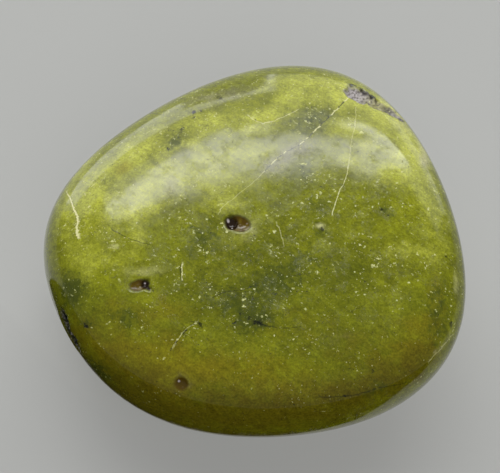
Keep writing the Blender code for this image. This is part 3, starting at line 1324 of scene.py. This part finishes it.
@dataclass(frozen=True)
class PolishedSerpentine:
    """Yellow-green serpentine, clouded with dark green, veined, specked and tumbled to a shine."""

    olive: Colour = (0.113, 0.124, 0.004, 1.0)
    lime: Colour = (0.242, 0.262, 0.008, 1.0)
    straw: Colour = (0.470, 0.495, 0.060, 1.0)
    flake: Colour = (0.640, 0.650, 0.260, 1.0)
    moss: Colour = (0.048, 0.064, 0.006, 1.0)
    deep: Colour = (0.078, 0.092, 0.004, 1.0)
    brown: Colour = (0.200, 0.165, 0.005, 1.0)
    # A dark brown that also stands in for the shade on the lower flank.
    brown_shade: Colour = (0.102, 0.080, 0.003, 1.0)
    sepia: Colour = (0.078, 0.044, 0.002, 1.0)
    lilac: Colour = (0.210, 0.195, 0.150, 1.0)
    cream: Colour = (0.740, 0.720, 0.350, 1.0)
    ink: Colour = (0.010, 0.012, 0.006, 1.0)
    amber: Colour = (0.074, 0.042, 0.001, 1.0)
    honey: Colour = (0.118, 0.082, 0.001, 1.0)
    umber: Colour = (0.016, 0.008, 0.006, 1.0)
    # A painted glint: the highlight laid into the pits' colour.
    spark: Colour = (0.620, 0.560, 0.560, 1.0)
    fracture: Colour = (0.520, 0.480, 0.480, 1.0)
    slate: Colour = (0.150, 0.130, 0.120, 1.0)
    sand: Colour = (0.400, 0.380, 0.170, 1.0)
    clouds: Tear = Tear(1.9, 2.8, 0.55, 0.45)
    spots: Tear = Tear(3.5, 1.6, 0.55, 0.30)
    washes: Tear = Tear(0.8, 1.3, 0.50, 0.50)
    cloud_strength: float = 0.85
    pinhole_strength: float = 0.80
    speck_scale: float = 2.7
    speck_size: float = 0.25
    gloss: float = 0.085
    scratch_dullness: float = 0.07
    chip_dullness: float = 0.30
    rim_dullness: float = 0.55
    ior: float = 1.56
    relief: float = 0.012

    def build(self, effects: Effects) -> bpy.types.Material:
        """Make the material.

        Args:
            effects: The shared node groups.

        Returns:
            The material.
        """
        material = bpy.data.materials.new("tumbled_serpentine")
        material.use_nodes = True
        shader = material.node_tree.nodes["Principled BSDF"]
        board = StoneBoard(material.node_tree, effects)
        dark = board.times(board.cloud(Tint.DARK, self.clouds), self.cloud_strength)
        specks, pinholes = self._grains(board, dark)
        colour = board.paint(dark, self._ground(board), self.moss)
        colour = board.paint(specks, colour, self.flake)
        colour = board.paint(board.most(pinholes, board.cloud(Tint.INK, self.spots)), colour, self.ink)
        colour = self._pit_colours(board, self._lines(board, colour))
        colour = board.paint(board.hollow(Form.CHIP), colour, self._chip_floor(board))
        scratches = board.group(effects.scratches, {"Place": board.place, "Amount": 1.0})["Mask"]
        board.feed(shader.inputs["Base Color"], colour)
        board.feed(shader.inputs["Roughness"], self._roughness(board, scratches))
        board.feed(shader.inputs["Normal"], self._relief(board, specks, pinholes, scratches))
        shader.inputs["IOR"].default_value = self.ior
        return material

    def _ground(self, board: StoneBoard) -> Socket:
        """Lay out the stone's colour with its pale, brown and purple patches, and the light and shade painted
        with them.

        Wide clouds and a fine mottle blend olive and lime. A drawn-out noise lays faint fibres
        over them, and two finer ones a grain and a dust.

        Args:
            board: The material's nodes.

        Returns:
            The colour.
        """
        wide = board.noise(board.place, 0.16, 4.0, 0.55, 0.4)
        mottle = board.grain(0.95, 5.0, 0.64)
        both = board.plus(board.times(wide, 0.7), board.times(mottle, 0.9))
        colour = board.paint(board.step(both, 0.46, 1.14), self.olive, self.lime)
        # The dark brown also paints shade on the lower edge, and the pale and halo tints paint light on the
        # upper side and along the outline.
        for tint, over, strength in (
            (Tint.DEEP, self.deep, 0.75),
            (Tint.PALE, self.straw, 0.80),
            (Tint.BROWN, self.brown, 0.80),
            (Tint.BROWN_SHADE, self.brown_shade, 0.88),
            (Tint.PURPLE, self.lilac, 0.60),
            (Tint.HALO, self.cream, 0.50),
        ):
            colour = board.paint(board.times(board.cloud(tint, self.washes), strength), colour, over)
        fibres = board.noise(board.stretched(board.place, (0, 0, 35), (1.0, 5.0, 1.0)), 0.7, 4.0, 0.6)
        shade = board.swing(fibres, 0.86, 1.14)
        shade = board.times(shade, board.swing(board.grain(2.6, 3.0, 0.6), 0.86, 1.14))
        shade = board.times(shade, board.swing(board.grain(6.0, 2.0, 0.6), 0.74, 1.26))
        return board.scaled(colour, shade)

    def _beads(self, board: StoneBoard) -> Socket:
        """Find the lines along which grains crowd.

        Args:
            board: The material's nodes.

        Returns:
            Their mask, which falls off from the middle of each line.
        """
        across, gate, strength = board.parts(board.attribute(Line.BEADS.value, "Vector"))
        band = board.times(board.step(board.math("ABSOLUTE", across), 1.2, 0.2), board.step(gate, 0.0, 0.6))
        return board.times(band, strength)

    def _grains(self, board: StoneBoard, dark: Socket) -> tuple[Socket, Socket]:
        """Find the bright grains and the black pinholes.

        Both crowd in the dark clouds and along the beaded lines. Large grains are specks of
        uneven tone. Small flakes are the peaks of a fine grit, fewer in the brown parts, and the
        pinholes are its lows.

        Args:
            board: The material's nodes.
            dark: The dark clouds' mask.

        Returns:
            The two masks.
        """
        crowd = board.step(board.grain(0.45, 3.0), 0.49, 0.62)
        share = board.plus(board.times(crowd, 0.30), board.times(dark, 0.30))
        share = board.plus(share, self._beads(board))
        large, tone = board.group(board.effects.specks, {
            "Place": board.bent(board.place, 5.0, 0.28), "Scale": self.speck_scale, "Size": self.speck_size,
            "Share": board.times(share, 0.7),
        })
        bright = board.times(large, board.spread(tone, 0.0, 1.0, 0.25, 1.0))
        grit = board.grain(3.4, 4.0, 0.66)
        calm = board.most(board.tint(Tint.BROWN), board.tint(Tint.BROWN_SHADE))
        peak = board.minus(board.spread(calm, 0.0, 0.8, 0.625, 0.67), board.times(share, 0.12))
        flakes = board.step(grit, peak, board.plus(peak, 0.06))
        faint = board.times(flakes, board.spread(board.grain(1.3), 0.4, 0.6, 0.25, 0.95))
        floor = board.plus(0.325, board.times(share, 0.13))
        holes = board.step(grit, floor, board.minus(floor, 0.05))
        return board.most(bright, faint), board.times(holes, self.pinhole_strength)

    def _lines(self, board: StoneBoard, colour: Value) -> Socket:
        """Lay the dark lines, the half-filled crack and the white hairlines on a colour; two of the white
        lines are painted reflections.

        Args:
            board: The material's nodes.
            colour: The colour under them.

        Returns:
            The new colour.
        """
        dark = board.times(board.hairline(Line.DARK, 1.6, 0.42), 0.8)
        filling = board.paint(board.step(board.grain(1.1), 0.47, 0.53), self.ink, self.cream)
        colour = board.paint(dark, colour, self.ink)
        colour = board.paint(board.hairline(Line.CRACK, 1.4, 0.36), colour, filling)
        return board.paint(board.hairline(Line.WHITE, 2.4, 0.38), colour, self.cream)

    def _shelf_rim(self, board: StoneBoard) -> Socket:
        """Return the mask of the sloping rims of the amber shelves."""
        shelf = board.hollow(Form.SHELF)
        return board.times(board.step(shelf, 0.0, 0.15), board.step(shelf, 1.0, 0.7))

    def _pit_colours(self, board: StoneBoard, colour: Value) -> Socket:
        """Lay the pits' colours on a colour.

        The shelves are amber with a dark rim, the dimples brown and the slit and bowls nearly
        black, and tiny painted glints lie in them.

        Args:
            board: The material's nodes.
            colour: The colour under them.

        Returns:
            The new colour.
        """
        shelf = board.hollow(Form.SHELF)
        amber = board.paint(board.step(board.grain(2.0, 3.0), 0.35, 0.65), self.amber, self.honey)
        amber = board.paint(board.times(self._shelf_rim(board), 0.7), amber, self.umber)
        for mask, over in (
            (shelf, amber),
            (board.times(board.hollow(Form.DIMPLE), 0.92), self.sepia),
            (board.times(board.hollow(Form.SLIT), 0.6), self.ink),
            (board.hollow(Form.BOWL), board.paint(board.times(shelf, 0.12), self.umber, self.amber)),
            # Painted glints in the pits.
            (board.step(board.tint(Tint.SPARK), 0.25, 0.75), self.spark),
        ):
            colour = board.paint(mask, colour, over)
        return colour

    def _chip_floor(self, board: StoneBoard) -> Socket:
        """Lay out the colour of the chips' broken floors.

        A grain lies on dark ground. In the pale and the sandy parts the ground is lighter and
        the grain denser. Bright specks lie on top, and umber paints shadow on the edges.

        Args:
            board: The material's nodes.

        Returns:
            The colour.
        """
        grains = board.grain(3.2, 4.0, 0.7)
        floor = board.paint(board.step(grains, 0.50, 0.72), self.ink, self.fracture)
        pale = board.paint(board.step(grains, 0.40, 0.58), self.slate, self.fracture)
        sandy = board.paint(board.step(grains, 0.34, 0.54), self.slate, self.sand)
        specks = {"Place": board.place, "Scale": 4.0, "Size": 0.34, "Share": 0.16}
        for mask, over in (
            (board.tint(Tint.CHALK), pale),
            (board.tint(Tint.BEIGE), sandy),
            (board.group(board.effects.specks, specks)["Mask"], self.cream),
            # Umber paints shadow on the chips' upper edges.
            (board.step(board.tint(Tint.INK), 0.3, 0.8), self.umber),
        ):
            floor = board.paint(mask, floor, over)
        return floor

    def _roughness(self, board: StoneBoard, scratches: Socket) -> Socket:
        """Lay out the roughness.

        The polish varies a little. It is duller in the scratches and at the shelves' rims, rough
        in the chips, and wetter in the dark pits.

        Args:
            board: The material's nodes.
            scratches: The scratches' mask.

        Returns:
            The roughness, kept between 0 and 1.
        """
        dull = board.swing(board.grain(1.2, 5.0, 0.65), self.gloss - 0.03, self.gloss + 0.05)
        dull = board.plus(dull, board.times(scratches, self.scratch_dullness))
        dull = board.plus(dull, board.times(self._shelf_rim(board), self.rim_dullness))
        rough = board.times(board.hollow(Form.CHIP), self.chip_dullness)
        wet = board.times(board.most(board.hollow(Form.BOWL), board.hollow(Form.DIMPLE)), -0.09)
        return board.math("ADD", dull, board.plus(rough, wet), clamp=True)

    def _relief(self, board: StoneBoard, specks: Socket, pinholes: Socket, scratches: Socket) -> Socket:
        """Lay out a fine relief.

        Its height is a fine and a coarse noise, less the pinholes and scratches, plus the rough
        grain of the chips.

        Args:
            board: The material's nodes.
            specks: The bright grains' mask.
            pinholes: The pinholes' mask.
            scratches: The scratches' mask.

        Returns:
            The normal.
        """
        skin = board.times(board.grain(0.9, 3.0), 0.18)
        fine = board.times(board.grain(4.0, 3.0, 0.6), 0.06)
        holes = board.times(board.most(pinholes, board.times(specks, 0.4)), -0.8)
        chip = board.times(board.hollow(Form.CHIP), board.times(board.grain(5.0, 4.0, 0.7), 6.0))
        scored = board.plus(board.times(scratches, -0.25), chip)
        height = board.plus(board.plus(skin, fine), board.plus(holes, scored))
        bump = {"Height": height, "Strength": 1.0, "Distance": self.relief * MM}
        return board.node("Bump", bump).outputs[0]


@dataclass
class StoneSkin:
    """The pebble's whole visible surface, as one closed mesh with its finish."""

    body: PebbleBody = field(default_factory=PebbleBody)
    view: PictureView = field(default_factory=PictureView)
    grid: BallGrid = field(default_factory=BallGrid)
    finish: PolishedSerpentine = field(default_factory=PolishedSerpentine)
    waves: int = 24
    wave_height: float = 0.0014
    wave_lengths: tuple[float, float] = (2.2, 6.0)
    floor_waves: int = 18
    floor_roughness: float = 0.075
    floor_lengths: tuple[float, float] = (0.25, 0.9)

    def _ripples(self, points: np.ndarray, count: int, lengths: tuple[float, float], seed: int) -> np.ndarray:
        """Add up waves that run in all directions.

        Each wave is cos(2 pi * (point . way) / length + start), its way, length and start being
        drawn at random from the seed.

        Args:
            points: Points in millimetres.
            count: How many waves there are.
            lengths: The shortest and longest wave.
            seed: What the draw starts from.

        Returns:
            The sum over the square root of half the count, which swings about 1 either way.
        """
        draw = np.random.default_rng(seed)
        ways = unit(draw.normal(size=(count, 3))) / draw.uniform(*lengths, size=(count, 1))
        starts = draw.uniform(0.0, math.tau, size=count)
        return np.cos(points @ ways.T * math.tau + starts).sum(axis=1) / math.sqrt(count / 2.0)

    def _press_hollows(self, points: np.ndarray) -> tuple[np.ndarray, dict[str, np.ndarray]]:
        """Press the pits and chips into the skin.

        Where hollows overlap, the deepest one counts. A chip's floor has ripples of its own.

        Args:
            points: Points on the uncut skin.

        Returns:
            The moved points, and a mask for each form of hollow.
        """
        masks = {form.mask: np.zeros(len(points)) for form in Form}
        deepest = np.zeros(len(points))
        inward = np.zeros_like(points)
        rough = self._ripples(points, self.floor_waves, self.floor_lengths, FLOOR_SEED)
        for order, hollow in enumerate(HOLLOWS.values()):
            reach = hollow.reach(self.body, points, order)
            depth = hollow.profile(reach)
            cover = hollow.cover(reach)
            if hollow.form is Form.CHIP:
                depth = np.maximum(depth + rough * self.floor_roughness * cover, 0.0)
            outward = hollow.place(self.body)[3]
            deeper = depth > deepest
            deepest = np.where(deeper, depth, deepest)
            inward = np.where(deeper[:, None], -outward * depth[:, None], inward)
            mask = hollow.form.mask
            masks[mask] = np.maximum(masks[mask], cover)
        return points + inward, masks

    def _tint_masks(self, points: np.ndarray) -> dict[str, np.ndarray]:
        """Work out each tint's mask, its patches being joined as 1 - (1 - a)(1 - b).

        Args:
            points: Points on the uncut skin.

        Returns:
            For each tint, one value for each point.
        """
        masks = {}
        for tint, patches in PATCHES.items():
            clear = np.ones(len(points))
            for patch in patches:
                clear *= 1.0 - np.clip(patch.mask(self.body, self.view, points), 0.0, 1.0)
            masks[tint.value] = 1.0 - clear
        return masks

    def _line_fields(self, points: np.ndarray) -> dict[str, np.ndarray]:
        """Work out each kind of line's field; at a point the line with the widest gate counts.

        Args:
            points: Points on the uncut skin.

        Returns:
            For each kind, rows of signed distance over half width, gate, and strength.
        """
        fields = {line.value: np.zeros((len(points), 3)) for line in Line}
        for order, thin_line in enumerate(THIN_LINES):
            curve = thin_line.curve(self.body, self.view, order)
            middle = (curve.max(axis=0) + curve.min(axis=0)) / 2.0
            reach = np.linalg.norm(curve - middle, axis=1).max() + 1.0
            near = np.flatnonzero(np.linalg.norm(points - middle, axis=1) < reach)
            rows = thin_line.field(self.body, points[near], curve)
            held = fields[thin_line.line.value]
            closer = rows[:, 1] > held[near, 1]
            held[near[closer]] = rows[closer]
        return fields

    def build(self) -> bpy.types.Object:
        """Make the skin's mesh with its attributes.

        Returns:
            The skin, at the origin, with its place in its mesh.
        """
        directions, quads = self.grid.build()
        for gather in GATHERS:
            directions = gather.apply(directions)
        smooth = self.body.points(directions)
        waves = self._ripples(smooth, self.waves, self.wave_lengths, WAVE_SEED) * self.wave_height
        points, masks = self._press_hollows(smooth + self.body.normals(directions) * waves[:, None])
        points[:, 2] = np.maximum(points[:, 2], 0.0)
        mesh = bpy.data.meshes.new("polished_skin")
        mesh.from_pydata(points * MM, [], quads)
        mesh.shade_smooth()
        for name, values in {**masks, **self._tint_masks(smooth)}.items():
            mesh.attributes.new(name, "FLOAT", "POINT").data.foreach_set("value", values.astype(np.float32))
        for name, rows in self._line_fields(smooth).items():
            attribute = mesh.attributes.new(name, "FLOAT_VECTOR", "POINT")
            attribute.data.foreach_set("vector", rows.astype(np.float32).ravel())
        skin = bpy.data.objects.new("polished_skin", mesh)
        bpy.context.scene.collection.objects.link(skin)
        return skin

    def dress(self, skin: bpy.types.Object) -> None:
        """Give the skin its finish."""
        skin.data.materials.append(self.finish.build(Effects()))


def add_plate(name: str, corners: Iterable[Triple], finish: dict[str, Value]) -> bpy.types.Object:
    """Add a flat piece of one face with a plain finish.

    Args:
        name: What the piece and its finish are called.
        corners: The face's corners in metres, in the order that gives the way it faces.
        finish: What goes into the Principled shader, by name.

    Returns:
        The piece.
    """
    places = list(corners)
    mesh = bpy.data.meshes.new(name)
    mesh.from_pydata(places, [], [tuple(range(len(places)))])
    material = bpy.data.materials.new(name)
    material.use_nodes = True
    for socket, value in finish.items():
        material.node_tree.nodes["Principled BSDF"].inputs[socket].default_value = value
    mesh.materials.append(material)
    plate = bpy.data.objects.new(name, mesh)
    bpy.context.scene.collection.objects.link(plate)
    return plate


@dataclass(frozen=True)
class PaleFloor:
    """The plain pale surface that the stone lies on, a hair under its foot."""

    half_side: float = 900.0
    drop: float = 0.02
    colour: Colour = (0.20, 0.205, 0.195, 1.0)
    light: Colour = (1.0, 1.0, 0.98, 1.0)
    glow: float = 0.21
    roughness: float = 0.55

    def build(self) -> bpy.types.Object:
        """Make the floor.

        Returns:
            The floor.
        """
        corners = [
            (across * self.half_side * MM, along * self.half_side * MM, -self.drop * MM)
            for across, along in ((-1, -1), (1, -1), (1, 1), (-1, 1))
        ]
        return add_plate("pale_floor", corners, {
            "Base Color": self.colour, "Roughness": self.roughness, "Emission Color": self.light,
            "Emission Strength": self.glow,
        })


@dataclass(frozen=True)
class DarkCard:
    """A black card lying in front of the stone, which only the polish mirrors."""

    corners: tuple[Pixel, ...] = (
        (-300.0, -400.0), (300.0, -400.0), (300.0, -60.0), (60.0, -36.0), (26.0, -27.0), (11.0, -17.4),
        (-3.0, -15.8), (-9.0, -13.5), (-15.5, -8.0), (-24.0, 2.0), (-300.0, 4.0),
    )
    lift: float = 0.05
    colour: Colour = (0.004, 0.004, 0.004, 1.0)

    def build(self) -> bpy.types.Object:
        """Make the card, hidden from the camera and from all light but mirrored light.

        Returns:
            The card.
        """
        corners = [(across * MM, along * MM, self.lift * MM) for across, along in self.corners]
        finish = {"Base Color": self.colour, "Roughness": 1.0, "Specular IOR Level": 0.0}
        card = add_plate("dark_card", corners, finish)
        card.visible_camera = False
        card.visible_diffuse = False
        card.visible_shadow = False
        return card


@dataclass(frozen=True)
class GlowPanel:
    """A glowing flat panel that stands behind the stone, its corners across and up in metres."""

    name: str
    radiance: float
    corners: tuple[Pixel, ...]
    behind: float = 0.60

    def build(self) -> bpy.types.Object:
        """Make the panel, hidden from the camera.

        Returns:
            The panel.
        """
        panel = add_plate(self.name, [(across, self.behind, up) for across, up in self.corners], {
            "Base Color": BLACK, "Specular IOR Level": 0.0, "Emission Color": WHITE,
            "Emission Strength": self.radiance,
        })
        panel.visible_camera = False
        return panel


@dataclass(frozen=True)
class SoftLight:
    """A flat soft light that faces the stone, its place and sizes in metres."""

    name: str
    place: Triple
    width: float
    height: float
    radiance: float
    facing: Triple
    mirrored: bool = True

    def build(self) -> bpy.types.Object:
        """Make the light, whose power is radiance times pi times its area.

        Returns:
            The light.
        """
        data = bpy.data.lights.new(self.name, "AREA")
        data.shape = "RECTANGLE"
        data.size = self.width
        data.size_y = self.height
        data.energy = self.radiance * math.pi * self.width * self.height
        light = bpy.data.objects.new(self.name, data)
        light.location = self.place
        light.rotation_euler = (-Vector(self.facing)).to_track_quat("Z", "Y").to_matrix().to_euler()
        light.visible_glossy = self.mirrored
        bpy.context.scene.collection.objects.link(light)
        return light


@dataclass(frozen=True)
class Studio:
    """The soft light around the stone: slanting bright panels behind it, fills and a dim room."""

    room: float = 0.12
    panels: tuple[GlowPanel, ...] = (
        GlowPanel("back_panel", 5.8, (
            (-0.47, 0.945), (-0.406, 0.925), (-0.33, 0.915), (-0.27, 0.878), (-0.19, 0.850),
            (-0.136, 0.825), (-0.096, 0.760), (-0.083, 0.865), (-0.055, 0.920), (0.010, 0.890),
            (0.060, 0.870), (0.101, 0.830), (0.138, 0.805), (0.188, 0.750), (0.224, 0.690),
            (0.242, 0.650), (0.217, 0.654), (0.185, 0.677), (0.141, 0.712), (0.108, 0.744),
            (0.108, 0.718), (0.138, 0.652), (0.188, 0.588), (0.246, 0.549), (0.305, 0.497),
            (0.333, 0.508), (0.377, 0.500), (0.420, 0.490), (0.458, 0.517), (0.405, 0.648),
            (0.366, 0.706), (0.250, 0.860), (0.175, 0.980), (0.100, 1.030), (0.050, 1.060),
            (-0.012, 1.125), (-0.040, 1.160), (-0.100, 1.150), (-0.330, 1.163), (-0.430, 1.080),
        )),
        GlowPanel("stripe_panel", 1.9, (
            (-0.470, 0.820), (-0.417, 0.735), (-0.360, 0.712), (-0.309, 0.722), (-0.246, 0.735),
            (-0.198, 0.748), (-0.157, 0.762), (-0.110, 0.745), (-0.096, 0.757), (-0.136, 0.822),
            (-0.190, 0.847), (-0.270, 0.875), (-0.330, 0.912), (-0.406, 0.922), (-0.470, 0.942),
        )),
        GlowPanel("crest_panel", 1.9, (
            (-0.026, 0.778), (-0.023, 0.740), (0.004, 0.700), (0.034, 0.650), (0.070, 0.610),
            (0.092, 0.640), (0.094, 0.760), (0.060, 0.860), (0.010, 0.880), (-0.028, 0.850),
        )),
        GlowPanel("rim_panel", 1.7, (
            (0.200, 0.004), (0.200, 0.100), (0.300, 0.160), (0.360, 0.220), (0.430, 0.270),
            (0.520, 0.290), (0.620, 0.270), (0.750, 0.250), (0.750, 0.004),
        )),
        GlowPanel("dim_panel", 0.45, (
            (-0.190, 0.004), (-0.190, 0.240), (-0.120, 0.330), (-0.080, 0.370), (-0.045, 0.300),
            (-0.035, 0.004),
        )),
        GlowPanel("wedge_panel", 5.4, (
            (-0.092, 0.870), (-0.070, 0.812), (-0.030, 0.780), (-0.034, 0.842), (-0.055, 0.888),
        )),
    )
    lights: tuple[SoftLight, ...] = (
        SoftLight("left_wall", (-0.355, 0.60, 0.205), 0.67, 0.40, 1.9, (0.0, -1.0, 0.0)),
        SoftLight("back_wall", (0.0, 0.70, 0.45), 1.8, 0.85, 0.9, (0.0, -1.0, 0.0)),
        SoftLight("top_fill", (0.0, 0.35, 1.0), 0.9, 0.9, 2.15, (0.0, -0.35, -1.0), False),
        SoftLight("front_fill", (0.15, -0.70, 0.75), 0.7, 0.7, 2.7, (-0.15, 0.70, -0.75), False),
    )

    def build(self) -> list[bpy.types.Object]:
        """Light the scene, and show colours as they are.

        Returns:
            The glowing panels.
        """
        scene = bpy.context.scene
        scene.world = bpy.data.worlds.new("dim_room")
        scene.world.use_nodes = True
        background = scene.world.node_tree.nodes["Background"]
        background.inputs["Color"].default_value = WHITE
        background.inputs["Strength"].default_value = self.room
        scene.view_settings.view_transform = "Standard"
        for light in self.lights:
            light.build()
        return [panel.build() for panel in self.panels]


def report_piece(piece: bpy.types.Object) -> None:
    """Log a piece's name and how many triangles it has."""
    triangles = sum(len(face.vertices) - 2 for face in piece.data.polygons)
    LOG.info("%s: %d triangles", piece.name, triangles)


def main() -> None:
    """Build the stone, the floor, the light and the camera."""
    stone = StoneSkin()
    skin = stone.build()
    stone.dress(skin)
    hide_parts(STONE_NODE)
    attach(skin, "root")
    report_piece(skin)
    floor = PaleFloor().build()
    report_piece(floor)
    card = DarkCard().build()
    report_piece(card)
    for panel in Studio().build():
        report_piece(panel)
    stone.view.add_camera()


if __name__ == "__main__":
    logging.basicConfig(level=logging.INFO, format="%(name)s: %(message)s")
    main()
